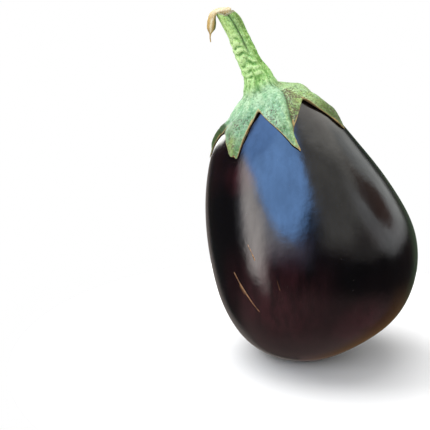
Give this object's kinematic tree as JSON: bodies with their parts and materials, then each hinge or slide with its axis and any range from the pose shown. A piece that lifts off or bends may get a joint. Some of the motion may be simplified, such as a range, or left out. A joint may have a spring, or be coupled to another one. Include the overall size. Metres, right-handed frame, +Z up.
{
  "type": "eggplant",
  "caption": "Globe eggplant with a ribbed green stalk and a star-shaped calyx, standing on a small flat spot under its fruit.",
  "frame": {"origin": "centre of the flat spot under the fruit", "axes": "+Z up, -Y to the front, +X to the right; the stalk leans towards -X"},
  "size_m": [0.1066, 0.105, 0.1749],
  "materials": {
    "skin": "gloss",
    "green": "matte",
    "dried_peel": "matte"
  },
  "bodies": {
    "root": {"fruit": "skin", "calyx_and_stalk": "green", "dried_strip": "dried_peel"}
  },
  "joints": []
}
